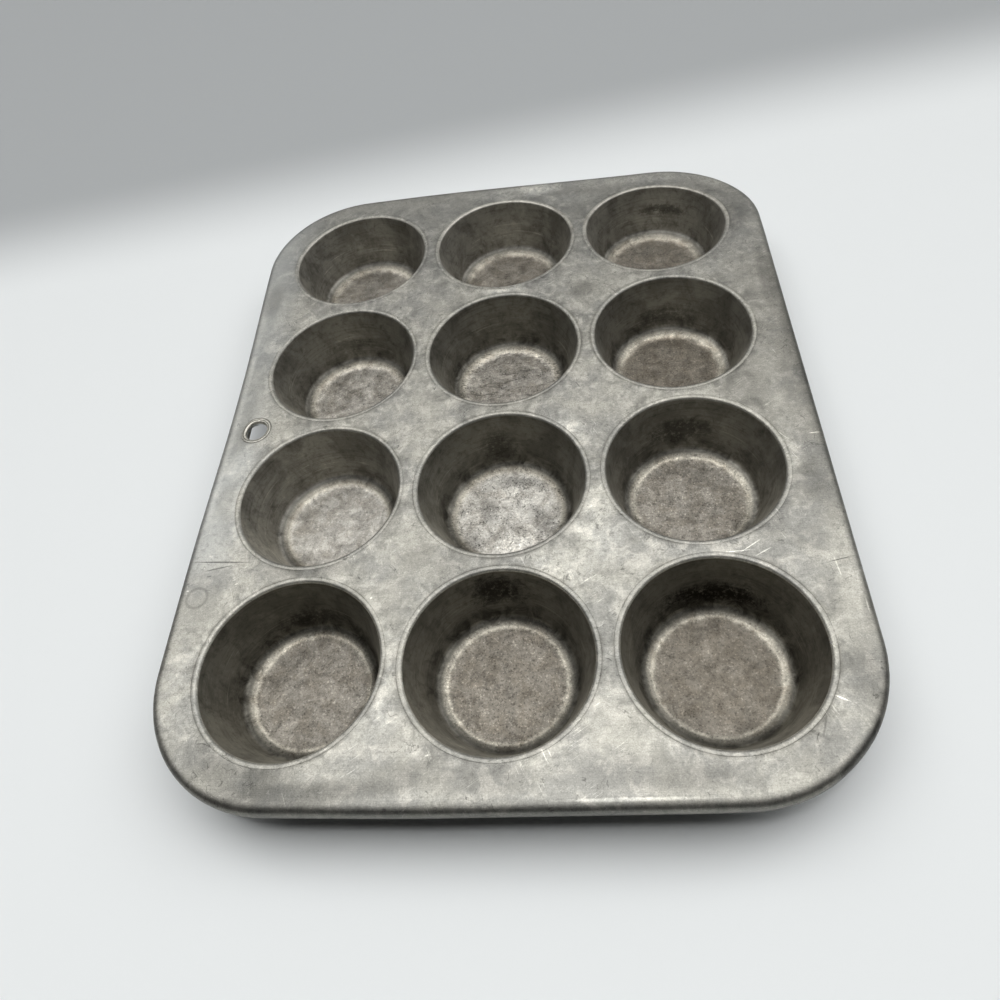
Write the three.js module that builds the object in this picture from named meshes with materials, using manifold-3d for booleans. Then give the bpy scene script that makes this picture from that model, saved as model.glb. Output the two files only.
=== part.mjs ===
// Twelve-cup muffin pan in aluminium sheet. A pressed deck with a hollow rolled rim carries
// twelve drawn cups, each seamed into a seat of its own, and an eyelet to hang the pan by.
// Millimetres, +Z up. The pan stands on its cups: the origin is under its middle, on the table,
// with the three columns of cups along X and the four rows along Y.
import * as THREE from 'three';
import { mergeVertices } from 'three/addons/utils/BufferGeometryUtils.js';
import Module from 'manifold-3d';

const wasm = await Module();
wasm.setup();

// Grid of cups
const columns = 3;
const rows = 4;
const columnGap = 9; // between the mouths of neighbours in a row
const rowGap = 8; // the same in a column

// Cup, inside sizes
const mouthRadius = 36;
const cupDepth = 28.5; // deck top to floor
const floorRadius = 25.4; // the flat of the floor
const floorFillet = 3.5;
const cupSheet = 1;
const lipBend = 1.5; // rounded inner edge of the lip
const lipWidth = 2.3; // mouth to seam

// Deck and its rolled rim
const deckSheet = 1;
const sideMargin = 18.5; // mouth of an outer cup to the outside of the rim, left and right
const endMargin = 17.3; // the same at the front and back
const cornerRadius = 53; // outside of the rim, seen from above
const rimRadius = 5; // outside of the roll
const rimTurn = THREE.MathUtils.degToRad(300);

// Hang hole and its eyelet
const holeRadius = 5.25;
const eyeletSheet = 0.6;
const eyeletBend = 1.1; // rounded edge of the hole
const eyeletFlange = 2.5; // hole to seam

// Seams
const seamGap = 0.3; // clearance between a lip and its seat, and under a locking bead
const lockLap = 0.7; // how far a locking bead reaches under its seat
const beadHeight = 1.6;
const overrun = 1; // cuts run past the sheet by this

// Smoothness
const turnedSides = 24;
const cornerSteps = 8;
const rimSteps = 10;
const bendSteps = 2;

// Sizes that follow
const deckTop = cupDepth + cupSheet;
const columnPitch = 2 * mouthRadius + columnGap;
const rowPitch = 2 * mouthRadius + rowGap;
const halfWidth = ((columns - 1) * columnPitch) / 2 + mouthRadius + sideMargin;
const halfLength = ((rows - 1) * rowPitch) / 2 + mouthRadius + endMargin;
const lipRadius = mouthRadius + lipWidth;
const neckRadius = mouthRadius + cupSheet;
const barrelRadius = holeRadius + eyeletSheet;
const eyeletRadius = holeRadius + eyeletFlange;
const footRadius = barrelRadius + seamGap + lockLap;

const aluminium = {
  deck: new THREE.MeshStandardMaterial({ color: 0xb8b6ac, metalness: 0.85, roughness: 0.5 }),
  cup: new THREE.MeshStandardMaterial({ color: 0x7d796e, metalness: 0.8, roughness: 0.5 }),
  eyelet: new THREE.MeshStandardMaterial({ color: 0xaaa89f, metalness: 0.85, roughness: 0.45 }),
};

// A point of a profile: distance from the axis and height over the deck's top face
function at(radius, height) {
  return new THREE.Vector2(radius, height);
}

// Points of an arc in a profile, from one angle to another, both ends included
function arc(centre, radius, from, to, steps) {
  return Array.from({ length: steps + 1 }, (_, i) => {
    const angle = THREE.MathUtils.lerp(from, to, i / steps);
    return at(centre.x + radius * Math.cos(angle), centre.y + radius * Math.sin(angle));
  });
}

// Leaves only shared positions, and no triangle without area
function welded(geometry) {
  const bare = geometry.clone();
  bare.deleteAttribute('normal');
  bare.deleteAttribute('uv');
  const merged = mergeVertices(bare);
  const index = merged.index.array;
  const kept = [];
  for (let i = 0; i < index.length; i += 3) {
    const [a, b, c] = index.slice(i, i + 3);
    if (a !== b && b !== c && c !== a) kept.push(a, b, c);
  }
  merged.setIndex(kept);
  return merged;
}

// Revolves a profile round the Z axis
function turned(profile) {
  return welded(new THREE.LatheGeometry(profile, turnedSides).rotateX(Math.PI / 2));
}

function solid(geometry) {
  const vertProperties = geometry.attributes.position.array;
  const triVerts = Uint32Array.from(geometry.index.array);
  return new wasm.Manifold(new wasm.Mesh({ numProp: 3, vertProperties, triVerts }));
}

function surface(manifold) {
  const mesh = manifold.getMesh();
  const geometry = new THREE.BufferGeometry();
  geometry.setAttribute('position', new THREE.BufferAttribute(mesh.vertProperties, 3));
  geometry.setIndex(Array.from(mesh.triVerts));
  return geometry;
}

// The wall runs straight between the lip's bend and the floor's fillet and touches both.
// Its lean from upright is the one that puts both tangent points on one line.
function wallLean(bend, fillet) {
  const inward = bend.x - fillet.x;
  const down = bend.y - fillet.y;
  const reach = Math.hypot(inward, down);
  return Math.acos((lipBend + floorFillet) / reach) - Math.atan2(down, inward);
}

// Section of a drawn cup, from the middle of its foot outwards, over the lip and back to the
// middle of its floor. Under the seat the wall is rolled out into a bead that locks the cup.
function cupProfile() {
  const bend = at(mouthRadius + lipBend, -lipBend);
  const fillet = at(floorRadius, floorFillet - cupDepth);
  const lean = wallLean(bend, fillet);
  const outerFillet = floorFillet + cupSheet;
  const wallFoot = at(fillet.x + outerFillet * Math.cos(lean), fillet.y - outerFillet * Math.sin(lean));
  const wallAt = (height) => wallFoot.x + (height - wallFoot.y) * Math.tan(lean);
  const beadTop = -(cupSheet + deckSheet + seamGap);
  const beadFoot = beadTop - beadHeight;
  return [
    at(0, -deckTop),
    ...arc(fillet, outerFillet, -Math.PI / 2, -lean, bendSteps),
    at(wallAt(beadFoot), beadFoot),
    at(neckRadius + seamGap + lockLap, (beadTop + beadFoot) / 2),
    at(neckRadius, beadTop),
    at(neckRadius, -cupSheet),
    at(lipRadius, -cupSheet),
    at(lipRadius, 0),
    ...arc(bend, lipBend, Math.PI / 2, Math.PI - lean, bendSteps),
    ...arc(fillet, floorFillet, -lean, -Math.PI / 2, bendSteps),
    at(0, -cupDepth),
  ];
}

// Section of the eyelet, closed on itself: a flange on the deck, a barrel through it, and a
// foot clinched outwards under the seat.
function eyeletProfile() {
  const bend = at(holeRadius + eyeletBend, -eyeletBend);
  const footTop = -(eyeletSheet + deckSheet + seamGap);
  const section = [
    at(holeRadius, footTop - eyeletSheet),
    at(footRadius, footTop - eyeletSheet),
    at(footRadius, footTop),
    at(barrelRadius, footTop),
    at(barrelRadius, -eyeletSheet),
    at(eyeletRadius, -eyeletSheet),
    at(eyeletRadius, 0),
    ...arc(bend, eyeletBend, Math.PI / 2, Math.PI, bendSteps),
  ];
  return [...section, section[0]];
}

// Stations round the edge of the flat deck, each with the direction that points outwards
function deckEdge() {
  const corner = cornerRadius - rimRadius;
  const across = halfWidth - cornerRadius;
  const along = halfLength - cornerRadius;
  const quarters = [[1, 1], [-1, 1], [-1, -1], [1, -1]];
  return quarters.flatMap(([sideX, sideY], quarter) =>
    Array.from({ length: cornerSteps + 1 }, (_, i) => {
      const angle = (quarter + i / cornerSteps) * (Math.PI / 2);
      const out = new THREE.Vector2(Math.cos(angle), Math.sin(angle));
      const point = new THREE.Vector2(sideX * across, sideY * along).addScaledVector(out, corner);
      return { point, out };
    }));
}

// Section of the roll: over the top, round and back under the deck, then the inner skin back
// to the deck's underside. Its end stays clear of the deck, so the roll is open along a slit.
function rimSection() {
  const centre = at(0, -rimRadius);
  const start = Math.PI / 2;
  const end = start - rimTurn;
  return [
    ...arc(centre, rimRadius, start, end, rimSteps),
    ...arc(centre, rimRadius - deckSheet, end, start, rimSteps),
  ];
}

// The sheet before its seats are pressed: flat deck and rolled rim as one closed skin
function deckBlank() {
  const stations = deckEdge();
  const section = rimSection();
  const ring = section.length;
  const positions = stations.flatMap(({ point, out }) =>
    section.flatMap((s) => [point.x + s.x * out.x, point.y + s.x * out.y, s.y]));
  const index = [];
  stations.forEach((_, i) => {
    const here = i * ring;
    const next = ((i + 1) % stations.length) * ring;
    for (let j = 0; j < ring - 1; j += 1) {
      index.push(here + j, here + j + 1, next + j);
      index.push(next + j, here + j + 1, next + j + 1);
    }
  });
  const faces = THREE.ShapeUtils.triangulateShape(stations.map(({ point }) => point), []);
  faces.forEach(([a, b, c]) => {
    index.push(a * ring, b * ring, c * ring);
    index.push(c * ring + ring - 1, b * ring + ring - 1, a * ring + ring - 1);
  });
  const geometry = new THREE.BufferGeometry();
  geometry.setAttribute('position', new THREE.Float32BufferAttribute(positions, 3));
  geometry.setIndex(index);
  return geometry;
}

// A seat is a step pressed down round a hole, as deep as the lip that lies in it is thick
function seatBoss(lip, depth) {
  const radius = lip + seamGap + deckSheet;
  const foot = -(depth + deckSheet);
  return turned([at(0, foot), at(radius, foot), at(radius, -deckSheet / 2), at(0, -deckSheet / 2)]);
}

function seatCut(lip, neck, depth) {
  const foot = -(depth + deckSheet + overrun);
  return turned([
    at(0, foot),
    at(neck + seamGap, foot),
    at(neck + seamGap, -depth),
    at(lip + seamGap, -depth),
    at(lip + seamGap, overrun),
    at(0, overrun),
  ]);
}

// Centres of the cups, row by row from the back, each with its name
function cupPlaces() {
  const places = [];
  for (let row = 0; row < rows; row += 1) {
    for (let column = 0; column < columns; column += 1) {
      const x = (column - (columns - 1) / 2) * columnPitch;
      const y = ((rows - 1) / 2 - row) * rowPitch;
      places.push({ name: `cup_r${row + 1}_c${column + 1}`, x, y });
    }
  }
  return places;
}

// The eyelet's foot lines up with the inside of the rolled rim, halfway along the left side
const eyeletPlace = { x: 2 * rimRadius + footRadius - halfWidth, y: 0 };

function deckGeometry() {
  const cupBoss = solid(seatBoss(lipRadius, cupSheet));
  const cupCut = solid(seatCut(lipRadius, neckRadius, cupSheet));
  const moved = (tool, { x, y }) => tool.translate([x, y, 0]);
  const bosses = cupPlaces().map((place) => moved(cupBoss, place));
  const cuts = cupPlaces().map((place) => moved(cupCut, place));
  bosses.push(moved(solid(seatBoss(eyeletRadius, eyeletSheet)), eyeletPlace));
  cuts.push(moved(solid(seatCut(eyeletRadius, barrelRadius, eyeletSheet)), eyeletPlace));
  const pressed = wasm.Manifold.union([solid(deckBlank()), ...bosses]);
  return surface(pressed.subtract(wasm.Manifold.union(cuts)));
}

function piece(name, geometry, material, { x, y }) {
  const flat = geometry.toNonIndexed();
  flat.computeVertexNormals();
  const mesh = new THREE.Mesh(flat, material);
  mesh.name = name;
  mesh.position.set(x, y, 0);
  return mesh;
}

function muffinPan() {
  const pan = new THREE.Group();
  pan.position.z = deckTop;
  pan.add(piece('pan_deck', deckGeometry(), aluminium.deck, { x: 0, y: 0 }));
  const cup = turned(cupProfile());
  cupPlaces().forEach((place) => pan.add(piece(place.name, cup, aluminium.cup, place)));
  pan.add(piece('hang_eyelet', turned(eyeletProfile()), aluminium.eyelet, eyeletPlace));
  return pan;
}

const model = new THREE.Group();
model.add(muffinPan());

export default model;
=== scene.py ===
"""A worn aluminium muffin pan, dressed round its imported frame. Lengths are in metres."""

import math

import bmesh
import bpy
from mathutils import Euler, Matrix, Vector, noise
from mathutils.geometry import delaunay_2d_cdt


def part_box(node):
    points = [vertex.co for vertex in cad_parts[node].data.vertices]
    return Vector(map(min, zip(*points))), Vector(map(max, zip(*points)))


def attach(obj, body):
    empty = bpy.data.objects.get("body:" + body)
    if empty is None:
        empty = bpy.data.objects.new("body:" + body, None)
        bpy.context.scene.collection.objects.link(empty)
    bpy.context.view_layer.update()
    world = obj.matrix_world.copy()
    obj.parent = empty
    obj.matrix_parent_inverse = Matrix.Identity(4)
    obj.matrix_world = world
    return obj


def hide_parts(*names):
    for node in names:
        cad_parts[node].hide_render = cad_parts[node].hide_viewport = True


MM = 0.001
UP = Vector((0, 0, 1))
QUARTER = math.pi / 2

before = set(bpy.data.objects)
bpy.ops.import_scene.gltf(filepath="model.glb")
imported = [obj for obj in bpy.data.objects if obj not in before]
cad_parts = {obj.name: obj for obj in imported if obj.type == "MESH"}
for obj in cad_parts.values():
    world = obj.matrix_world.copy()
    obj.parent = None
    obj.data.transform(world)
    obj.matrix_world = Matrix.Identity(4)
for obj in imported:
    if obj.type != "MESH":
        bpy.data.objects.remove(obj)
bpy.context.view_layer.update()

# Sizes read from the frame
_, deck_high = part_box("pan_deck")
TOP = deck_high.z
HALF_WIDTH = deck_high.x
HALF_LENGTH = deck_high.y
CUPS = sorted(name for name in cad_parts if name.startswith("cup_"))

# Deck and rim
SHEET = 1 * MM
CORNER = 53 * MM
ROLL = 5 * MM
ROLL_TURN = math.radians(300)
TIP_CUT = math.radians(36)

# Cups
CUP_DEPTH = TOP - SHEET
LIP_WIDTH = 2.3 * MM
LIP_BEND = 1.5 * MM
LIP_EDGE = 0.08 * MM
FLOOR_RADIUS = 25.4 * MM
FLOOR_FILLET = 3.5 * MM
FOOT_EDGE = 0.5 * MM

# The top of the worn rim is flatter than a round roll's: the power of its curve
ROLL_POWER = 3

# The worn floors curl up gently before they turn into the wall
CURL = 17 * MM
CURL_TURN = math.radians(28)
TIGHT_FILLET = 3 * MM

# Seams
SEAM = 0.3 * MM
HAIRLINE = 0.03 * MM
LOCK_LAP = 0.7 * MM
BEAD = 1.6 * MM
SEAT_EDGE = 0.06 * MM

# Eyelet
EYELET_SHEET = 0.6 * MM
EYELET_BEND = 1.1 * MM
EYELET_FLANGE = 2.5 * MM

# Unevenness of hand-worn sheet, only downwards and growing with height over the table
WAVE = 0.35 * MM
WAVE_SIZE = 70 * MM

# How the worn rim has moved: its front bows outwards, its left side is pressed in and sags at the
# middle, and its back droops towards the right
BOW = 1.5 * MM
PRESS = 0.8 * MM
SAG = 1.5 * MM
DROOP = 3.6 * MM
RIM_REACH = 15 * MM

# Where, in shares of the half width across and the half length along: the middles of the bow and
# the sag, the distances between which each fades, and where the droop sets in
BOW_MIDDLE = 0.15
BOW_FADE = (0.3, 0.9)
SAG_MIDDLE = 0.15
SAG_FADE = (0.05, 0.6)
DROOP_ALONG = (0.6, 1)
DROOP_ACROSS = (-0.45, 0.75)

# Fineness of the skins
MOUTH_STEPS = 144
EYELET_STEPS = 72
CORNER_STEPS = 28
EDGE_STEPS = 4
CURVE_STEPS = 8
BEND_STEPS = 10
FLOOR_STEPS = 14
FOOT_STEPS = 8
WALL_STEPS = 16
ROLL_STEPS = 44
ROLL_INSIDE_STEPS = 36
SIDE_STEP = 6 * MM
GRID_STEP = 6 * MM

# How far the deck's triangles keep from its edge and the seats, where slivers are left out
GUARD = 1.2 * MM
SLIVER = 0.012 * MM

# Points nearer than this become one
WELD = 0.001 * MM

# The photograph's camera
FRAME_PIXELS = 1000
FOCAL_PIXELS = 751.2
SENSOR_WIDTH_MM = 36
NEAREST_SEEN = 10 * MM
CAMERA_TURN_DEGREES = (34.142, 8.651, 0.793)
CAMERA_PLACE = Vector((41.76, -226.75, 286.89)) * MM


def tone(red, green, blue):
    """A linear colour from the 0 to 255 scale of a screen."""
    def linear(value):
        share = value / 255
        return share / 12.92 if share <= 0.04045 else ((share + 0.055) / 1.055) ** 2.4
    return (linear(red), linear(green), linear(blue), 1)


# Shapes

def at(radius, height):
    return Vector((radius, height))


def arc(centre, radius, start, end, steps):
    """Points of an arc in a section, both ends included, with the angles in radians."""
    angles = [start + (end - start) * i / steps for i in range(steps + 1)]
    return [centre + Vector((math.cos(a), math.sin(a))) * radius for a in angles]


def line(start, end, steps):
    """Points along a straight stretch, both ends left out."""
    return [start.lerp(end, i / steps) for i in range(1, steps)]


def ring(centre, radius, height, steps):
    """Points of a level circle."""
    angles = [2 * math.pi * i / steps for i in range(steps)]
    return [Vector((centre.x + radius * math.cos(a), centre.y + radius * math.sin(a), height))
            for a in angles]


def eased(value, low, high):
    """0 below low and 1 above high."""
    share = min(max((value - low) / (high - low), 0), 1)
    return share * share * (3 - 2 * share)


def worn(point):
    """Moves a point as use has bent the sheet, less the nearer it is to the table."""
    across = point.x / HALF_WIDTH
    along = point.y / HALF_LENGTH
    depth = 0.5 + 0.5 * noise.noise(Vector((point.x, point.y, 0)) / WAVE_SIZE)
    front = eased(-point.y, HALF_LENGTH - RIM_REACH, HALF_LENGTH - ROLL)
    front *= 1 - eased(abs(across - BOW_MIDDLE), *BOW_FADE)
    left = eased(-point.x, HALF_WIDTH - RIM_REACH, HALF_WIDTH - ROLL)
    left *= 1 - eased(abs(along - SAG_MIDDLE), *SAG_FADE)
    back = eased(along, *DROOP_ALONG) * eased(across, *DROOP_ACROSS)
    lowered = WAVE * depth + DROOP * back + SAG * left
    share = min(max(point.z / TOP, 0), 1)
    return point + Vector((PRESS * left, -BOW * front, -lowered)) * share


class Skin:
    """Points and faces of one piece, each face with the number of its material."""

    def __init__(self):
        self.points = []
        self.faces = []
        self.marks = []

    def add(self, points):
        first = len(self.points)
        self.points.extend(points)
        return list(range(first, len(self.points)))

    def face(self, corners, mark):
        self.faces.append(corners)
        self.marks.append(mark)

    def loft(self, rings, mark=0):
        """Joins each closed ring of points to the next."""
        rows = [self.add(points) for points in rings]
        for low, high in zip(rows, rows[1:]):
            for i, here in enumerate(low):
                after = (i + 1) % len(low)
                self.face((here, low[after], high[after], high[i]), mark)

    def turn(self, section, centre, steps, mark=0):
        """Revolves a section round the upright line through centre."""
        self.loft([ring(centre, p.x, p.y, steps) for p in section], mark)

    def piece(self, name, materials):
        mesh = bpy.data.meshes.new(name)
        mesh.from_pydata([worn(p) for p in self.points], [], self.faces)
        mesh.polygons.foreach_set("material_index", self.marks)
        work = bmesh.new()
        work.from_mesh(mesh)
        bmesh.ops.remove_doubles(work, verts=work.verts, dist=WELD)
        bmesh.ops.dissolve_degenerate(work, edges=work.edges, dist=WELD)
        bmesh.ops.recalc_face_normals(work, faces=work.faces)
        for face in work.faces:
            face.smooth = True
        work.to_mesh(mesh)
        work.free()
        for material in materials:
            mesh.materials.append(material)
        made = bpy.data.objects.new(name, mesh)
        bpy.context.scene.collection.objects.link(made)
        return made


class Seat:
    """Where a flanged piece lies in the deck, read from the piece's node."""

    def __init__(self, node, sheet, neck, edge, steps):
        low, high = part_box(node)
        self.centre = Vector(((low.x + high.x) / 2, (low.y + high.y) / 2))
        self.flange = (high.x - low.x) / 2
        self.foot = low.z
        self.sheet = sheet
        self.neck = self.flange - neck
        self.edge = edge
        self.steps = steps

    def section(self):
        """From the deck's top face down into the seat and out again under the deck."""
        wall = self.flange + HAIRLINE
        bore = self.neck + SEAM
        ledge = TOP - self.sheet
        foot = ledge - SHEET
        outside = self.flange + SEAM + SHEET
        return [
            *arc(at(wall + self.edge, TOP - self.edge), self.edge, QUARTER, math.pi, EDGE_STEPS),
            at(wall, ledge),
            at(bore, ledge),
            at(bore, foot),
            *arc(at(outside - FOOT_EDGE, foot + FOOT_EDGE), FOOT_EDGE, -QUARTER, 0, EDGE_STEPS),
            at(outside, TOP - SHEET),
        ]


def mouth_radius(seat):
    return seat.flange - LIP_WIDTH


def wall_lean(bend, fillet):
    """Lean from upright of the straight wall that touches the lip's bend and the floor's fillet."""
    reach = bend - fillet
    return math.acos((LIP_BEND + FLOOR_FILLET) / reach.length) - math.atan2(reach.y, reach.x)


def curled_edge(fillet, lean):
    """The floor's edge in section: a wide arc up from the floor, then a tight one into the wall."""
    to_wall = Vector((math.cos(lean), -math.sin(lean)))
    up_wall = Vector((math.sin(lean), math.cos(lean)))
    apart = CURL - TIGHT_FILLET
    tight = fillet + to_wall * (FLOOR_FILLET - TIGHT_FILLET)
    height = fillet.y - FLOOR_FILLET + CURL - apart * math.cos(CURL_TURN)
    tight += up_wall * ((height - tight.y) / math.cos(lean))
    wide = tight + Vector((-math.sin(CURL_TURN), math.cos(CURL_TURN))) * apart
    turn = CURL_TURN - QUARTER
    rise = arc(wide, CURL, -QUARTER, turn, CURVE_STEPS)
    return [*rise, *arc(tight, TIGHT_FILLET, turn, -lean, CURVE_STEPS)[1:]]


def lip_edge(seat):
    """The small round between a flange's top and its edge."""
    return arc(at(seat.flange - LIP_EDGE, TOP - LIP_EDGE), LIP_EDGE, QUARTER, 0, EDGE_STEPS)


def cup_inside(seat, bend, fillet, lean):
    """The inside of a cup, from the middle of its floor to the edge of its lip."""
    middle = at(0, seat.foot + SHEET)
    curve = curled_edge(fillet, lean)
    over = arc(bend, LIP_BEND, math.pi - lean, QUARTER, BEND_STEPS)
    floor = line(middle, curve[0], FLOOR_STEPS)
    wall = line(curve[-1], over[0], WALL_STEPS)
    return [middle, *floor, *curve, *wall, *over, *lip_edge(seat)]


def cup_outside(seat, fillet, lean):
    """The outside of a cup, from the edge of its lip over the locking bead to its foot."""
    round_foot = arc(fillet, FLOOR_FILLET + SHEET, -lean, -QUARTER, BEND_STEPS)
    bead_top = TOP - 2 * SHEET - SEAM
    bead_foot = bead_top - BEAD
    crest = seat.neck + SEAM + LOCK_LAP
    wall_foot = round_foot[0]
    wall = at(wall_foot.x + (bead_foot - wall_foot.y) * math.tan(lean), bead_foot)
    middle = at(0, seat.foot)
    return [
        lip_edge(seat)[-1],
        at(seat.flange, TOP - SHEET),
        at(seat.neck, TOP - SHEET),
        at(seat.neck, bead_top),
        at((seat.neck + crest) / 2, bead_top),
        at(crest, bead_top - BEAD / 3),
        at(crest, bead_top - BEAD / 2),
        wall,
        *line(wall, wall_foot, WALL_STEPS),
        *round_foot,
        *line(round_foot[-1], middle, FOOT_STEPS),
        middle,
    ]


def cup_sections(seat):
    """The inside and the outside of a cup, whose walls lean alike."""
    bend = at(mouth_radius(seat) + LIP_BEND, TOP - LIP_BEND)
    fillet = at(FLOOR_RADIUS, seat.foot + SHEET + FLOOR_FILLET)
    lean = wall_lean(bend, fillet)
    return cup_inside(seat, bend, fillet, lean), cup_outside(seat, fillet, lean)


def eyelet_section(seat):
    """The eyelet's skin, closed on itself: flange, barrel and the foot clinched outwards."""
    hole = seat.flange - EYELET_FLANGE
    bend = at(hole + EYELET_BEND, TOP - EYELET_BEND)
    edge = 0.5 * EYELET_SHEET
    foot = seat.foot + EYELET_SHEET
    under = TOP - EYELET_SHEET
    clinch = at(seat.neck + SEAM + LOCK_LAP - edge, seat.foot + edge)
    section = [
        *arc(bend, EYELET_BEND, math.pi, QUARTER, CURVE_STEPS),
        *lip_edge(seat),
        at(seat.flange, under),
        at(seat.neck, under),
        at(seat.neck, foot),
        *arc(clinch, edge, QUARTER, -QUARTER, CURVE_STEPS),
        at(hole, seat.foot),
    ]
    return [*section, section[0]]


def deck_stations():
    """Points round the edge of the flat deck, each with the direction that points outwards."""
    across = HALF_WIDTH - CORNER
    along = HALF_LENGTH - CORNER
    stations = []
    for quarter, (side_x, side_y) in enumerate([(1, 1), (-1, 1), (-1, -1), (1, -1)]):
        for i in range(CORNER_STEPS + 1):
            angle = (quarter + i / CORNER_STEPS) * QUARTER
            out = Vector((math.cos(angle), math.sin(angle)))
            centre = Vector((side_x * across, side_y * along))
            stations.append((centre + out * (CORNER - ROLL), out))
    return with_sides(stations)


def with_sides(stations):
    """Adds stations along the straight sides, so that no step is long."""
    filled = []
    for (point, out), (after, _) in zip(stations, stations[1:] + stations[:1]):
        steps = max(1, round((after - point).length / SIDE_STEP))
        filled.extend((point.lerp(after, i / steps), out) for i in range(steps))
    return filled


def squarer(point, centre):
    """Moves a point of the roll's upper outer quarter out to a curve that is nearer to square."""
    away = point - centre
    if min(away) <= 0:
        return point
    power = sum((part / ROLL) ** ROLL_POWER for part in away)
    return centre + away * power ** (-1 / ROLL_POWER)


def roll_section():
    """The rolled rim, as distances outwards from the flat deck's edge and heights."""
    centre = at(0, TOP - ROLL)
    end = QUARTER - ROLL_TURN
    half = SHEET / 2
    tip = centre + Vector((math.cos(end), math.sin(end))) * (ROLL - half)
    return [
        *[squarer(point, centre) for point in arc(centre, ROLL, QUARTER, end, ROLL_STEPS)],
        *arc(tip, half, end - TIP_CUT, end - math.pi + TIP_CUT, EDGE_STEPS),
        *arc(centre, ROLL - SHEET, end, QUARTER, ROLL_INSIDE_STEPS),
    ]


def plate(skin, outline, seats, height, clearance):
    """A level plate inside an outline, with a hole at each seat that ends at its loop."""
    holes = [(seat, clearance(seat)) for seat in seats]
    points = list(outline)
    edges = [(i, (i + 1) % len(points)) for i in range(len(points))]
    for seat, radius in holes:
        first = len(points)
        points.extend(p.xy for p in ring(seat.centre, radius, 0, seat.steps))
        edges.extend((first + i, first + (i + 1) % seat.steps) for i in range(seat.steps))
    for seat, radius in holes:
        points.extend(p.xy for p in ring(seat.centre, radius + GUARD, 0, seat.steps))
    points.extend(grid_points(holes))
    found, _, faces, *_ = delaunay_2d_cdt(points, edges, [], 0, WELD)
    rows = skin.add([Vector((p.x, p.y, height)) for p in found])
    for face in faces:
        middle = sum((found[i] for i in face), Vector((0, 0))) / len(face)
        inside = edge_depth(middle) > ROLL + GUARD + SLIVER
        if inside and all((middle - seat.centre).length > radius for seat, radius in holes):
            skin.face(tuple(rows[i] for i in face), 0)


def grid_points(holes):
    """Points over the flat deck, clear of its edge and of the holes."""
    inset = ROLL + 2 * GUARD
    columns = int(2 * HALF_WIDTH / GRID_STEP)
    rows = int(2 * HALF_LENGTH / GRID_STEP)
    kept = []
    for row in range(rows + 1):
        for column in range(columns + 1):
            shift = 0.5 * (row % 2)
            point = Vector((column + shift - columns / 2, row - rows / 2)) * GRID_STEP
            clear = all((point - seat.centre).length > radius + 2 * GUARD for seat, radius in holes)
            if clear and edge_depth(point) > inset:
                kept.append(point)
    return kept


def edge_depth(point):
    """How far a point lies inside the silhouette of the pan seen from above."""
    over_x = max(abs(point.x) - (HALF_WIDTH - CORNER), 0)
    over_y = max(abs(point.y) - (HALF_LENGTH - CORNER), 0)
    return CORNER - math.hypot(over_x, over_y)


def deck_piece(seats, materials):
    skin = Skin()
    stations = deck_stations()
    rings = [[Vector((*(point + out * s.x), s.y)) for point, out in stations] for s in roll_section()]
    skin.loft(rings)
    guard = [point - out * GUARD for point, out in stations]
    edge = [point for point, _ in stations]
    for height in (TOP, TOP - SHEET):
        skin.loft([[Vector((*p, height)) for p in loop] for loop in (edge, guard)])
    plate(skin, guard, seats, TOP, lambda seat: seat.flange + HAIRLINE + seat.edge)
    plate(skin, guard, seats, TOP - SHEET, lambda seat: seat.flange + SEAM + SHEET)
    for seat in seats:
        skin.turn(seat.section(), seat.centre, seat.steps)
    return skin.piece("deck_skin", materials)


def cup_piece(name, seat, materials):
    inside, outside = cup_sections(seat)
    skin = Skin()
    skin.turn(inside, seat.centre, seat.steps, 0)
    skin.turn(outside, seat.centre, seat.steps, 1)
    return skin.piece(name + "_skin", materials)


def eyelet_piece(seat, materials):
    skin = Skin()
    skin.turn(eyelet_section(seat), seat.centre, seat.steps)
    return skin.piece("eyelet_skin", materials)


# Materials

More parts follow.
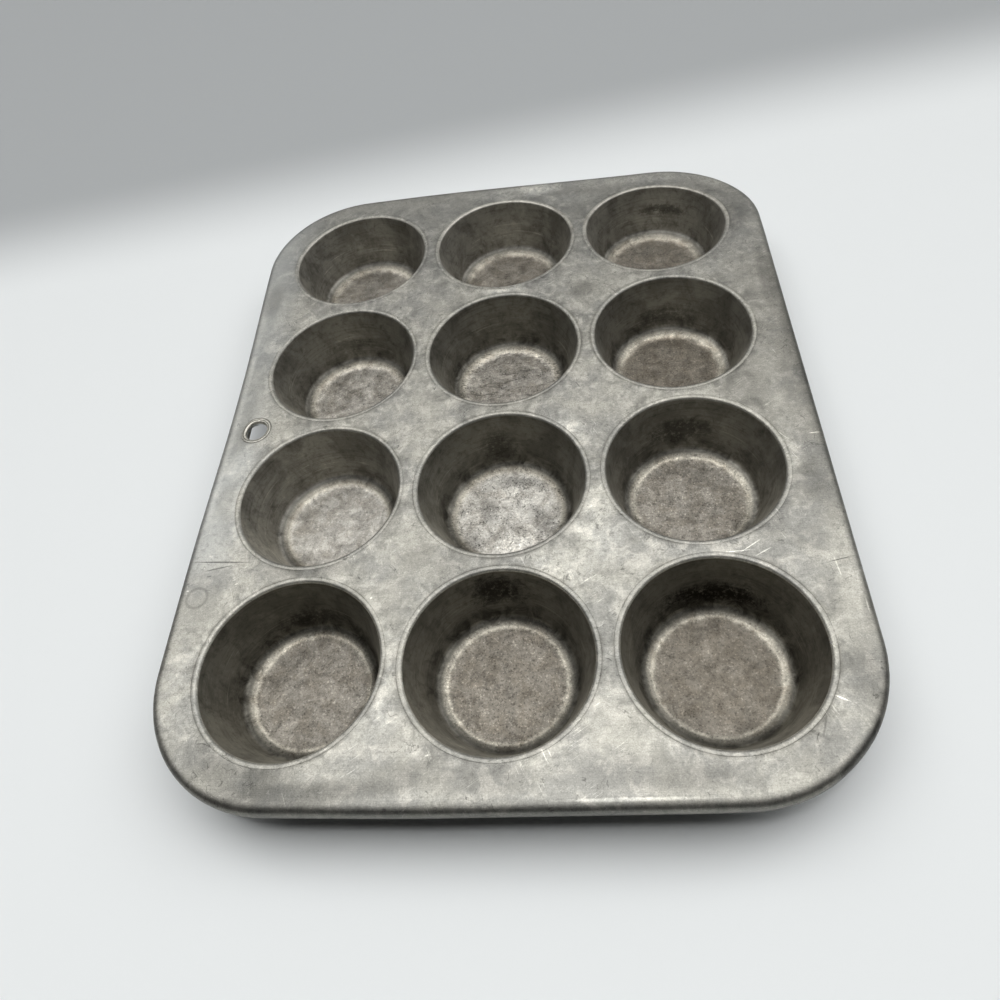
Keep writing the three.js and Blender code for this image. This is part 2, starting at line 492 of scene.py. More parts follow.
class Nodes:
    """Short ways to add nodes to a tree."""

    def __init__(self, tree, coordinates):
        self.tree = tree
        self.place = self.add("ShaderNodeTexCoord").outputs[coordinates]

    def add(self, kind, inputs=None, **settings):
        node = self.tree.nodes.new(kind)
        for setting, value in settings.items():
            setattr(node, setting, value)
        for socket, value in (inputs or {}).items():
            self.feed(node.inputs[socket], value)
        return node

    def feed(self, socket, value):
        if isinstance(value, bpy.types.NodeSocket):
            self.tree.links.new(value, socket)
        else:
            socket.default_value = value

    def maths(self, operation, first, second=0.0, third=0.0):
        inputs = {0: first, 1: second, 2: third}
        return self.add("ShaderNodeMath", inputs, operation=operation).outputs[0]

    def times(self, first, second):
        return self.maths("MULTIPLY", first, second)

    def plus(self, first, second):
        return self.maths("ADD", first, second)

    def minus(self, first, second):
        return self.maths("SUBTRACT", first, second)

    def more(self, first, second):
        return self.maths("MAXIMUM", first, second)

    def vector(self, operation, first, second=(0, 0, 0)):
        node = self.add("ShaderNodeVectorMath", {0: first, 1: second}, operation=operation)
        return node.outputs["Value" if operation in ("LENGTH", "DOT_PRODUCT") else "Vector"]

    def axes(self, vector):
        return self.add("ShaderNodeSeparateXYZ", {0: vector}).outputs

    def join(self, x, y, z=0.0):
        return self.add("ShaderNodeCombineXYZ", {0: x, 1: y, 2: z}).outputs[0]

    def smooth(self, value, low, high):
        """0 below low and 1 above high, or the other way round where low is the larger."""
        inputs = {"Value": value, "From Min": low, "From Max": high}
        return self.add("ShaderNodeMapRange", inputs, interpolation_type="SMOOTHSTEP").outputs[0]

    def band(self, value, middle, width):
        """1 at the middle and 0 half a width away from it."""
        away = self.maths("ABSOLUTE", self.minus(value, middle))
        return self.smooth(away, width / 2, 0)

    def noise(self, size, seed, detail=3.0, roughness=0.5, distortion=0.0, turn=0.0, place=None):
        """Cloudy value with features of that size, or of three sizes along turned axes."""
        sizes = size if isinstance(size, tuple) else (size,) * 3
        offset = (0.13 * seed, 0.29 * seed, 0.17 * seed)
        inputs = {"Vector": place or self.place, "Location": offset, "Rotation": (0, 0, turn),
                  "Scale": sizes}
        mapped = self.add("ShaderNodeMapping", inputs, vector_type="TEXTURE").outputs[0]
        inputs = {"Vector": mapped, "Scale": 1.0, "Detail": detail, "Roughness": roughness,
                  "Distortion": distortion}
        return self.add("ShaderNodeTexNoise", inputs).outputs[0]

    def cracks(self, size, seed, width, cover):
        """Short dark curved lines: the level lines of a cloud, broken up by a finer one."""
        cloud = self.noise(size, seed, 2.0, 0.6, 0.8)
        mask = self.smooth(self.noise(2 * size, seed + 1, 2.0), 1 - cover, 1.06 - cover)
        dashes = self.smooth(self.noise(0.3 * size, seed + 2, 2.0), 0.46, 0.56)
        return self.times(self.band(cloud, 0.5, width), self.times(mask, dashes))

    def mark(self, place, half_sizes, degrees=0):
        """1 in the middle of a turned ellipse and 0 at its border, seen from above."""
        long, wide = half_sizes
        turn = math.radians(degrees)
        ahead = Vector((math.cos(turn), math.sin(turn), 0))
        away = self.vector("SUBTRACT", self.place, (*place, 0))
        along = self.vector("DOT_PRODUCT", away, ahead / long)
        across = self.vector("DOT_PRODUCT", away, UP.cross(ahead) / wide)
        reach = self.maths("MULTIPLY_ADD", along, along, self.times(across, across))
        return self.smooth(self.maths("SQRT", reach), 1, 0.3)

    def streaks(self, length, width, seed, turn, cover):
        """Fine straight marks in one direction, broken up by a coarser cloud."""
        marks = self.noise((width, length, length), seed, 1.0, 0.5, 0.0, turn)
        cloud = self.noise(2 * length, seed + 1, 2.0)
        return self.times(self.smooth(marks, 0.66, 0.74), self.smooth(cloud, 1 - cover, 1.12 - cover))

    def blend(self, factor, first, second):
        inputs = {0: factor, 6: first, 7: second}
        return self.add("ShaderNodeMix", inputs, data_type="RGBA").outputs[2]

    def scaled(self, colour, level):
        """A colour times a level."""
        return self.add("ShaderNodeVectorMath", {0: colour, "Scale": level}, operation="SCALE").outputs[0]

    def dim(self, colour, amount, factor):
        """Darkens a colour by up to that share, where the factor is 1."""
        return self.scaled(colour, self.maths("MULTIPLY_ADD", factor, -amount, 1.0))


class Paint(Nodes):
    """The node tree of one material."""

    def __init__(self, name, metallic=1.0):
        self.material = bpy.data.materials.new(name)
        self.material.use_nodes = True
        super().__init__(self.material.node_tree, "Object")
        self.shader = self.tree.nodes["Principled BSDF"]
        self.shader.inputs["Metallic"].default_value = metallic

    def finish(self, colour, roughness, height, depth):
        """Joins colour, roughness and a relief to the shader. Depth is the relief's height at 1."""
        inputs = {"Height": height, "Distance": depth, "Strength": 1.0}
        bump = self.add("ShaderNodeBump", inputs).outputs[0]
        for socket, value in {"Base Color": colour, "Roughness": roughness, "Normal": bump}.items():
            self.feed(self.shader.inputs[socket], value)
        return self.material


# Tones of the metal: the sheet worn by hand, and what baking leaves on it
RUBBED = tone(187, 184, 175)
CLEAN = tone(168, 166, 157)
DULL = tone(151, 150, 144)
STAIN = tone(126, 125, 119)
COOL = tone(118, 119, 116)
PALE_COOL = tone(186, 189, 188)
GRIME = tone(74, 71, 63)
BAKED = tone(40, 36, 30)
PALE_FLOOR = tone(204, 202, 195)
BROWN_FLOOR = tone(96, 89, 78)
TAN = tone(149, 145, 134)
WALL_BARE = tone(186, 183, 174)
WALL_DARK = tone(127, 124, 112)

# Sizes of the marks on the metal
CLOUD = 26 * MM
BLOTCH = 8 * MM
MOTTLE = 2.2 * MM
SPECK = 0.8 * MM
GRAIN = 0.5 * MM
BRUSH_LENGTH = 14 * MM
BRUSH_WIDTH = 0.3 * MM
SCRATCH = 9 * MM
SEAM_DIRT = 1.5 * MM
SMUDGE = 10 * MM
FOOT_DIRT = 3.8 * MM
RELIEF = 0.02 * MM

# How much of the dirt shows along a seam, and how rough the metal is: a least value and a spread
SEAM_DIRT_SHARE = 0.35
DECK_ROUGHNESS = 0.4
OUTSIDE_ROUGHNESS = 0.42
CUP_ROUGHNESS = 0.44
ROUGHNESS_SPREAD = 0.2

# Marks of the deck, from back to front: the place from its middle and the half sizes, both in
# millimetres, the turn in degrees, and the share of light lost there, below zero where it shines

# Stains and smudges
DECK_STAINS = [
    ((120, 120), (16, 12), 70, 0.25),
    ((-127, 93), (8, 18), 0, 0.3),
    ((41, 74), (9, 9), 0, 0.35),
    ((129, 70), (30, 5), 88, 0.35),
    ((124, 45), (22, 80), 0, 0.2),
    ((134, 20), (6, 110), 0, 0.3),
    ((-124, 18), (18, 45), 0, 0.05),
    ((-90, 3), (16, 7), 0, 0.3),
    ((-118.6, 0), (12, 10), 0, 0.15),
    ((131, -10), (12, 90), 0, 0.25),
    ((107, -20), (14, 85), 0, 0.32),
    ((-125, -40), (7, 13), 0, 0.25),
    ((103, -52), (7, 14), 0, 0.35),
    ((122, -54), (13, 12), 0, 0.2),
    ((126, -60), (12, 24), 0, 0.15),
    ((-33, -76), (12, 9), 0, 0.25),
    ((-80, -78), (26, 8), 0, 0.35),
    ((119, -79), (9, 10), 0, 0.2),
    ((-20, -80), (9, 7), 0, 0.25),
    ((-124, -88), (14, 18), 0, 0.18),
    ((100, -90), (8, 6), 0, 0.5),
    ((-40, -92), (12, 20), 0, 0.12),
    ((121, -104), (8, 18), 0, 0.2),
    ((133, -105), (16, 3), 80, 0.3),
    ((130, -130), (10, 26), 0, 0.25),
    ((126, -135), (9, 22), 0, 0.25),
    ((-19, -153), (10, 6), 20, 0.35),
    ((-108, -154), (14, 8), -42, 0.15),
    ((106, -156), (20, 12), 35, 0.2),
    ((120.5, -158.3), (24, 5), 45, 0.4),
    ((-92, -159), (26, 12), -10, 0.35),
    ((-80, -160), (16, 6), 0, 0.2),
    ((-5, -161), (24, 7), 0, 0.1),
    ((-24, -161), (14, 7), 0, 0.25),
    ((55, -162), (45, 9), 0, 0.25),
    ((-36, -162), (14, 8), 0, 0.25),
    ((-2, -164), (24, 8), 0, 0.25),
    ((67, -165), (24, 6), 0, 0.2),
    ((-70, -167), (50, 6), 2, 0.45),
]

# Brighter places; the long one along the back rim is a painted highlight
DECK_BRIGHT_PLACES = [
    # Painted highlight along the back rim
    ((78, 169), (100, 11), 0, -0.3),
    ((20, 166), (14, 9), 0, -0.35),
    ((5, 164), (35, 8), 0, -0.35),
    ((122, 160), (18, 14), 0, -0.5),
    ((35, 153), (26, 8), 0, -0.25),
    ((0, 84), (17, 10), 0, -0.7),
    ((25, -16), (18, 16), 0, -0.3),
    ((-122, -19), (10, 12), 0, -0.3),
    ((28, -20), (16, 11), 0, -0.25),
    ((-128, -38), (10, 24), 0, -0.25),
    ((-114, -42), (9, 24), 0, -0.3),
    ((40, -64), (15, 26), 0, -0.35),
    ((-124, -66), (14, 16), 0, -0.2),
    ((22, -84), (18, 12), 0, -0.3),
    ((-112, -122), (24, 34), -30, -0.3),
    ((-47, -138), (14, 16), 0, -0.3),
]

# Scratches, nicks and specks, the bright ones below zero, and a painted highlight along the front rim's
# crease
DECK_SCRATCHES_AND_CREASE_HIGHLIGHT = [
    ((118, -28), (5, 0.4), -50, -0.7),
    ((131, -28.5), (3.5, 0.3), 4, -1.5),
    ((-119, -72), (17, 0.5), -4, 0.7),
    ((-120, -75), (8, 0.45), 10, 0.6),
    ((97, -80), (6, 0.3), 32, -1.5),
    ((92, -82), (9, 0.3), 3, -1.2),
    ((101, -83), (5, 0.3), 27, -1.4),
    ((-110, -83), (1.2, 0.4), 30, -1.0),
    ((-131, -85), (0.9, 0.4), 0, -1.0),
    ((128, -88), (5, 0.25), 8, 0.45),
    ((128, -88), (7, 0.3), 12, 0.6),
    ((126, -91), (0.3, 6), 6, -0.6),
    ((-51, -93), (0.8, 0.5), 60, -1.0),
    ((132.5, -107), (0.4, 4), 0, -0.8),
    ((-31, -137), (2.2, 0.3), -50, -0.9),
    ((60, -139), (4, 0.2), 80, -0.5),
    ((116, -140), (4, 0.35), -28, -1.5),
    ((109, -149), (0.5, 5), -20, 0.35),
    ((125, -150), (5, 1.2), 55, 0.5),
    ((105, -151), (7, 1), -30, 0.35),
    ((-24, -155), (1.2, 0.4), 20, -1.0),
    ((113, -163), (5, 1.2), 38, 0.45),
    # Painted highlight along the crease of the front rim
    ((45, -170.8), (32, 0.9), 0, -0.8),
]

# Marks of the whitest cup floor, from its middle
WHITE_FLOOR_MARKS = [
    ((-9, 2.5), (6, 9), 0, 0.45),
    ((3.5, -16), (15, 7), 0, -0.4),
    ((-4, 12), (12, 4), 10, -0.25),
    ((15, -4), (7, 10), 20, 0.4),
    ((4, 18), (14, 3), 0, 0.35),
    ((-17, -13), (5, 6), 0, 0.35),
    ((9, -19), (7, 3), 20, 0.5),
]

RING_STAIN = Vector((-126, -88.5)) * MM
RING_STAIN_RADIUS = 4.5 * MM

# How far up a wall a burnt patch may lie, as a share of the pan's height, and how far it reaches
# towards the cup's axis, as a share of the mouth's radius
PATCH_RISE = 0.8
PATCH_REACH = 0.3

# Seeds of the cups' noises
FIRST_SEED = 40
SEED_STEP = 13


def edge_distance(paint):
    """Distance inwards from the silhouette of the pan seen from above."""
    flat = paint.vector("MULTIPLY", paint.vector("ABSOLUTE", paint.place), (1, 1, 0))
    over = paint.vector("SUBTRACT", flat, (HALF_WIDTH - CORNER, HALF_LENGTH - CORNER, 0))
    over = paint.vector("MAXIMUM", over, (0, 0, 0))
    return paint.minus(CORNER, paint.vector("LENGTH", over))


def from_nearest(paint, value, places):
    """Offset along one axis from the nearest of some evenly spaced places round the middle."""
    count = len(places)
    pitch = (places[-1] - places[0]) / (count - 1)
    index = paint.maths("FLOOR", paint.maths("MULTIPLY_ADD", value, 1 / pitch, count / 2))
    index = paint.maths("MINIMUM", paint.more(index, 0.0), count - 1.0)
    return paint.minus(value, paint.maths("MULTIPLY_ADD", index, pitch, places[0]))


def cup_distance(paint, seats):
    """Distance from the axis of the nearest cup."""
    x, y, _ = paint.axes(paint.place)
    columns = sorted({round(seat.centre.x, 6) for seat in seats})
    rows = sorted({round(seat.centre.y, 6) for seat in seats})
    offset = paint.join(from_nearest(paint, x, columns), from_nearest(paint, y, rows))
    return paint.vector("LENGTH", offset)


def sheet_tone(paint):
    """Large clouds and blotches, the same on the deck and on the lips that lie in it."""
    cloud = paint.noise(CLOUD, 1, 7.0, 0.66, 0.2)
    blotch = paint.noise(BLOTCH, 2, 8.0, 0.62, 0.6)
    colour = paint.blend(paint.smooth(cloud, 0.38, 0.6), DULL, CLEAN)
    colour = paint.blend(paint.times(paint.smooth(blotch, 0.5, 0.66), 0.75), colour, RUBBED)
    colour = paint.blend(paint.times(paint.smooth(blotch, 0.46, 0.3), 0.5), colour, STAIN)
    return colour, blotch


def deck_metal(paint):
    """Mottled, brushed and scratched sheet: its colour, and the values its gloss follows."""
    colour, blotch = sheet_tone(paint)
    mottle = paint.noise(MOTTLE, 3, 5.0, 0.66, 0.5)
    grain = paint.noise(GRAIN, 4, 2.0, 0.6)
    brushed = paint.noise((BRUSH_LENGTH, BRUSH_WIDTH, BRUSH_LENGTH), 5, 3.0, 0.6)
    colour = paint.dim(colour, 0.2, paint.smooth(mottle, 0.5, 0.34))
    colour = paint.dim(colour, -0.18, paint.smooth(mottle, 0.5, 0.66))
    colour = paint.dim(colour, 0.1, paint.smooth(brushed, 0.5, 0.34))
    colour = paint.dim(colour, 0.2, paint.smooth(grain, 0.46, 0.34))
    colour = paint.dim(colour, -0.25, paint.smooth(grain, 0.56, 0.68))
    pale = paint.streaks(SCRATCH, BRUSH_WIDTH, 11, math.radians(-58), 0.45)
    pale = paint.more(pale, paint.streaks(SCRATCH, BRUSH_WIDTH, 14, math.radians(24), 0.45))
    colour = paint.dim(colour, -0.7, pale)
    colour = paint.dim(colour, 0.5, paint.cracks(BLOTCH, 17, 0.03, 0.5))
    colour = paint.dim(colour, 0.4, paint.cracks(0.5 * BLOTCH, 24, 0.04, 0.4))
    return colour, blotch, mottle, grain


def with_marks(paint, colour, marks, ragged, middle=Vector((0, 0))):
    """Adds marks in single places, counted from the middle, each as ragged as that value. They are
    one level first, so that the material holds few values at a time."""
    level = 1.0
    for place, half_sizes, degrees, loss in marks:
        mark = paint.mark(middle + Vector(place) * MM, Vector(half_sizes) * MM, degrees)
        kept = paint.maths("MULTIPLY_ADD", paint.times(mark, ragged), -loss, 1.0)
        level = paint.times(level, kept)
    return paint.scaled(colour, level)


def with_ring_stain(paint, colour, ragged):
    """Adds the faint ring that something round has left."""
    away = paint.vector("LENGTH", paint.vector("SUBTRACT", paint.place, (*RING_STAIN, TOP)))
    ring = paint.times(paint.band(away, RING_STAIN_RADIUS, MOTTLE), ragged)
    return paint.dim(colour, 0.3, ring)


def with_seam_dirt(paint, colour, seam):
    """Adds dirt along a seam, in patches."""
    patchy = paint.smooth(paint.noise(CLOUD, 21, 4.0, 0.6), 0.42, 0.6)
    return paint.blend(paint.times(paint.times(seam, patchy), SEAM_DIRT_SHARE), colour, GRIME)


def with_rim_shade(paint, colour, height):
    """Painted shade, with some grime: darkens the rim's side towards the silhouette and the roll's
    underside. Painted reflection of the pale table: lightens the inner side of the roll.
    """
    edge = edge_distance(paint)
    # Painted shade towards the rim's silhouette
    colour = paint.dim(colour, 0.35, paint.smooth(edge, 0.85 * ROLL, 0.2 * ROLL))
    low = paint.smooth(height, TOP - 0.6 * ROLL, TOP - 1.2 * ROLL)
    inner = paint.smooth(edge, 1.2 * ROLL, 1.8 * ROLL)
    # Painted shade, with some grime, on the outer underside of the roll
    colour = paint.dim(colour, 0.5, paint.times(low, paint.minus(1.0, inner)))
    # Painted reflection of the pale table on the inner side of the roll
    return paint.dim(colour, -2.0, paint.times(low, inner))


def with_side_tints(paint, colour, x, y):
    """Makes the sheet greyer towards the back, and cooler and paler along the left margin."""
    back = paint.smooth(y, 0.2 * HALF_LENGTH, HALF_LENGTH)
    colour = paint.blend(paint.times(back, 0.45), colour, COOL)
    left = paint.smooth(x, -0.78 * HALF_WIDTH, -0.95 * HALF_WIDTH)
    left = paint.times(left, paint.smooth(y, -0.7 * HALF_LENGTH, -0.2 * HALF_LENGTH))
    return paint.blend(paint.times(left, 0.35), colour, PALE_COOL)


def deck_material(seats):
    paint = Paint("deck_metal")
    colour, blotch, mottle, grain = deck_metal(paint)
    radius = cup_distance(paint, seats)
    flange = seats[0].flange
    colour = with_seam_dirt(paint, colour, paint.smooth(radius, flange + SEAM_DIRT, flange))
    smudge = paint.smooth(radius, flange + SMUDGE, flange)
    colour = paint.dim(colour, 0.22, paint.times(smudge, paint.smooth(blotch, 0.55, 0.4)))
    x, y, height = paint.axes(paint.place)
    colour = with_rim_shade(paint, colour, height)
    colour = with_side_tints(paint, colour, x, y)
    ragged = paint.smooth(mottle, 0.2, 0.5)
    colour = with_marks(paint, colour, DECK_STAINS + DECK_BRIGHT_PLACES + DECK_SCRATCHES_AND_CREASE_HIGHLIGHT, ragged)
    colour = with_ring_stain(paint, colour, ragged)
    roughness = paint.maths("MULTIPLY_ADD", mottle, ROUGHNESS_SPREAD, DECK_ROUGHNESS)
    relief = paint.plus(grain, paint.plus(paint.times(mottle, 1.5), paint.times(blotch, 3.0)))
    return paint.finish(colour, roughness, relief, RELIEF)


def eyelet_material(seat):
    """The deck's metal, with a painted highlight on the bend and a painted reflection of the table on the
    barrel, a dark ring of painted groove shade and a bright ring of painted highlight round the bend,
    darker towards the flange's edge, and dirt along the seam.
    """
    paint = Paint("eyelet_metal")
    colour, _, mottle, grain = deck_metal(paint)
    local = paint.vector("SUBTRACT", paint.place, (*seat.centre, 0))
    x, y, height = paint.axes(local)
    radius = paint.vector("LENGTH", paint.join(x, y))
    hole = seat.flange - EYELET_FLANGE
    bend_end = hole + EYELET_BEND
    line_width = 0.6 * EYELET_BEND
    groove_shade = paint.band(radius, bend_end + 0.1 * EYELET_BEND, line_width)
    ring_highlight = paint.band(radius, bend_end + 0.6 * EYELET_BEND, line_width)
    dirt = paint.smooth(radius, seat.flange - 0.4 * SEAM_DIRT, seat.flange)
    # Painted reflection of the pale table: the barrel is lighter the lower it goes
    colour = paint.dim(colour, -1.2, paint.smooth(height, TOP - EYELET_BEND, TOP - 2 * EYELET_BEND))
    colour = paint.dim(colour, 0.25, paint.smooth(radius, bend_end, seat.flange))
    # Painted highlight on the bend
    colour = paint.dim(colour, -0.7, paint.smooth(radius, bend_end, hole + 0.4 * EYELET_BEND))
    # Painted shade of a groove round the bend, and a painted highlight ring outside it
    colour = paint.dim(colour, 0.75, groove_shade)
    colour = paint.dim(colour, -0.5, ring_highlight)
    colour = paint.dim(colour, 0.6, dirt)
    roughness = paint.maths("MULTIPLY_ADD", mottle, ROUGHNESS_SPREAD, DECK_ROUGHNESS)
    return paint.finish(colour, roughness, paint.plus(grain, mottle), RELIEF)


def cup_material(name, seat, look):
    """Baked inside of a cup, from its floor over its wall to the lip that lies in the deck."""
    paint = Paint(name)
    local = paint.vector("SUBTRACT", paint.place, (*seat.centre, 0))
    x, y, height = paint.axes(local)
    radius = paint.vector("LENGTH", paint.join(x, y))
    mottle = paint.noise(BLOTCH, look["seed"], 7.0, 0.7, 0.7)
    fine = paint.noise(MOTTLE, look["seed"] + 1, 6.0, 0.7, 0.4)
    wavy = paint.plus(radius, paint.times(paint.minus(mottle, 0.5), 0.6 * FOOT_DIRT))
    floor = floor_colour(paint, look, wavy, y, mottle, fine)
    floor = with_marks(paint, floor, look["marks"], paint.smooth(fine, 0.35, 0.55), seat.centre)
    wall = wall_colour(paint, look, local, height, mottle, fine)
    rising = paint.smooth(wavy, FLOOR_RADIUS, FLOOR_RADIUS + FLOOR_FILLET)
    colour = paint.blend(rising, floor, wall)
    colour = with_foot_dirt_and_bright_fillet(paint, colour, look, x, radius, wavy)
    # The lip's tone, with its painted highlight, reaches further down on the front rows
    lip_tone_from = TOP - (0.2 + 0.8 * nearness(seat)) * LIP_BEND
    lip = paint.smooth(height, lip_tone_from - 0.2 * LIP_BEND, lip_tone_from + 0.2 * LIP_BEND)
    colour = paint.blend(lip, colour, lip_colour(paint, seat, radius, height))
    curved = paint.smooth(radius, FLOOR_RADIUS - MOTTLE, FLOOR_RADIUS)
    curved = paint.times(curved, paint.smooth(rising, 1, 0.2))
    roughness = paint.maths("MULTIPLY_ADD", fine, ROUGHNESS_SPREAD, CUP_ROUGHNESS)
    roughness = paint.minus(roughness, paint.times(curved, 0.5 * ROUGHNESS_SPREAD))
    relief = paint.plus(fine, paint.times(mottle, 2.0))
    relief = paint.times(relief, paint.maths("MULTIPLY_ADD", lip, -0.7, 1.0))
    return paint.finish(colour, roughness, relief, 1.5 * RELIEF)


def with_foot_dirt_and_bright_fillet(paint, colour, look, x, radius, wavy):
    """Adds dirt round the foot of the wall, and brightens the fillet at the right."""
    colour = paint.dim(colour, 0.55, paint.band(wavy, FLOOR_RADIUS + 0.55 * FLOOR_FILLET, FOOT_DIRT))
    fillet = paint.band(radius, FLOOR_RADIUS + 0.4 * FLOOR_FILLET, 2 * FLOOR_FILLET)
    right = paint.smooth(x, 0.5 * FLOOR_RADIUS, FLOOR_RADIUS)
    return paint.dim(colour, -look["fillet_brightening"], paint.times(right, fillet))


def nearness(seat):
    """0 at the back edge of the pan and 1 at its front edge."""
    return 0.5 - 0.5 * seat.centre.y / HALF_LENGTH


def lip_colour(paint, seat, radius, height):
    """The deck's tone, darker on the bends of the back rows, with a painted highlight on the bends and
    tops of the lips that grows towards the front rows, and dirt along the seam.
    """
    sheet, *_ = deck_metal(paint)
    # How strong the painted highlight on the lip is: nothing at the back, full at the front
    rubbed = nearness(seat) ** 2
    mouth = mouth_radius(seat)
    bend = paint.smooth(radius, mouth + LIP_BEND, mouth + 0.5 * LIP_BEND)
    lip = paint.dim(sheet, 0.25 - 0.75 * rubbed, bend)
    lip = paint.dim(lip, -1.2 * rubbed, paint.smooth(height, TOP - 0.3 * LIP_BEND, TOP - 0.7 * LIP_BEND))
    return with_seam_dirt(paint, lip, paint.smooth(radius, seat.flange - 0.5 * SEAM_DIRT, seat.flange))


def floor_colour(paint, look, radius, y, mottle, fine):
    """A rubbed or browned floor that curls up into a tan fillet, with a bright ring in its edge that is
    partly wear and partly a painted highlight.
    """
    base = mixed(BROWN_FLOOR, PALE_FLOOR, look["rubbed"])
    floor = paint.blend(paint.smooth(mottle, 0.36, 0.62), mixed(base, BROWN_FLOOR, 0.5), base)
    fillet = paint.blend(paint.smooth(mottle, 0.55, 0.35), TAN, mixed(TAN, BROWN_FLOOR, 0.6))
    curling = paint.smooth(radius, FLOOR_RADIUS - FLOOR_FILLET, FLOOR_RADIUS)
    floor = paint.blend(curling, floor, fillet)
    foot = paint.smooth(radius, FLOOR_RADIUS - 0.3 * FLOOR_FILLET, FLOOR_RADIUS)
    floor = paint.dim(floor, 0.25, foot)
    # Bright ring: wear and a painted highlight
    floor = paint.dim(floor, -look["ringed"], ring_wear_and_highlight(paint, look, radius, y))
    return worn_texture(paint, look, floor, fine)


def ring_wear_and_highlight(paint, look, radius, y):
    """The bright ring in a floor's edge, partly wear and partly a painted highlight: broken by gaps, and
    fainter at its left and right.
    """
    ring = paint.band(radius, FLOOR_RADIUS - 0.45 * look["ring_width"], look["ring_width"])
    ends = paint.smooth(paint.maths("ABSOLUTE", y), 0.2 * FLOOR_RADIUS, FLOOR_RADIUS)
    ends = paint.maths("MULTIPLY_ADD", ends, 1 - look["sides"], look["sides"])
    broken = paint.noise(0.6 * CLOUD, look["seed"] + 6, 3.0, 0.6)
    broken = paint.smooth(broken, look["gaps"], look["gaps"] + 0.25)
    return paint.times(paint.times(ring, broken), ends)


def worn_texture(paint, look, floor, fine):
    """Clouds, mottling, specks and pits, with wavy lines and short dark cracks."""
    seed = look["seed"]
    strength = look["speckled"]
    cloud = paint.noise(0.3 * CLOUD, seed + 5, 5.0, 0.62, 0.8)
    floor = paint.dim(floor, 0.24, paint.smooth(cloud, 0.5, 0.36))
    floor = paint.dim(floor, -0.24, paint.smooth(cloud, 0.5, 0.64))
    speck = paint.noise(SPECK, seed + 2, 2.0, 0.6)
    pits = paint.times(paint.smooth(speck, 0.42, 0.36), paint.smooth(cloud, 0.5, 0.4))
    floor = paint.dim(floor, 0.38 * strength, paint.smooth(fine, 0.5, 0.34))
    floor = paint.dim(floor, -0.38 * strength, paint.smooth(fine, 0.52, 0.68))
    floor = paint.dim(floor, 0.5 * strength, paint.smooth(speck, 0.42, 0.34))
    floor = paint.dim(floor, -0.8 * strength, paint.smooth(speck, 0.6, 0.68))
    floor = paint.dim(floor, look["cracked"], pits)
    waves = paint.noise((CLOUD, 0.6 * BLOTCH, BLOTCH), seed + 13, 2.0, 0.6, 0.6)
    floor = paint.dim(floor, look["waved"], paint.band(waves, 0.5, 0.06))
    floor = paint.dim(floor, 0.2, paint.cracks(BLOTCH, seed + 9, 0.04, 0.5))
    return paint.dim(floor, look["cracked"], paint.cracks(0.5 * BLOTCH, seed + 11, 0.09, 0.55))


def wall_colour(paint, look, local, height, mottle, fine):
    """A clouded wall with lines turned into it, baked at its foot, and with painted light on its front
    part, which is lighter and has no baked foot.
    """
    wall = turned_wall(paint, look, local, height, mottle, fine)
    _, y, _ = paint.axes(local)
    # Painted light: the front part of the wall, facing the light, is made lighter and keeps no baked foot
    front = paint.smooth(y, 0, -FLOOR_RADIUS)
    wall = paint.dim(wall, -0.5, front)
    foot = paint.smooth(height, 0.5 * CUP_DEPTH, 0.2 * CUP_DEPTH)
    foot = paint.times(foot, paint.smooth(mottle, 0.65, 0.35))
    foot = paint.times(foot, paint.minus(1.0, front))
    wall = paint.blend(paint.times(foot, 1 - 0.75 * look["bare"]), wall, BAKED)
    return paint.blend(burnt_patch(paint, look, local), wall, BAKED)


def turned_wall(paint, look, local, height, mottle, fine):
    """The wall's metal: clouds, mottling and fine level lines, the bright ones halfway up."""
    seed = look["seed"]
    cloud = paint.noise(0.5 * CLOUD, seed + 3, 5.0, 0.65, 0.5)
    turned = paint.noise((CLOUD, CLOUD, SPECK), seed + 4, 4.0, 0.65, 0.0, 0.0, local)
    base = mixed(WALL_DARK, WALL_BARE, look["bare"])
    wall = paint.blend(paint.smooth(cloud, 0.36, 0.62), mixed(base, GRIME, 0.4), base)
    wall = paint.dim(wall, 0.3, paint.smooth(mottle, 0.5, 0.3))
    wall = paint.dim(wall, 0.3, paint.smooth(fine, 0.5, 0.3))
    wall = paint.dim(wall, -0.25, paint.smooth(fine, 0.54, 0.72))
    wall = paint.dim(wall, 0.2, paint.smooth(turned, 0.5, 0.32))
    halfway = paint.band(height, 0.45 * CUP_DEPTH, 0.6 * CUP_DEPTH)
    return paint.dim(wall, -0.8, paint.times(paint.smooth(turned, 0.6, 0.7), halfway))


def burnt_patch(paint, look, local):
    """Where the wall is burnt: a ragged patch round a point, broken up by small bare spots."""
    away = paint.vector("SUBTRACT", local, look["patch_place"])
    away = paint.vector("LENGTH", paint.vector("DIVIDE", away, look["patch_size"]))
    ragged = paint.noise(0.8 * BLOTCH, look["seed"] + 7, 8.0, 0.85, 0.6)
    away = paint.plus(away, paint.times(paint.minus(ragged, 0.5), 3.0))
    spots = paint.smooth(paint.noise(MOTTLE, look["seed"] + 8, 5.0, 0.8), 0.64, 0.5)
    return paint.times(paint.times(paint.smooth(away, 1.3, 0.4), spots), look["burnt"])


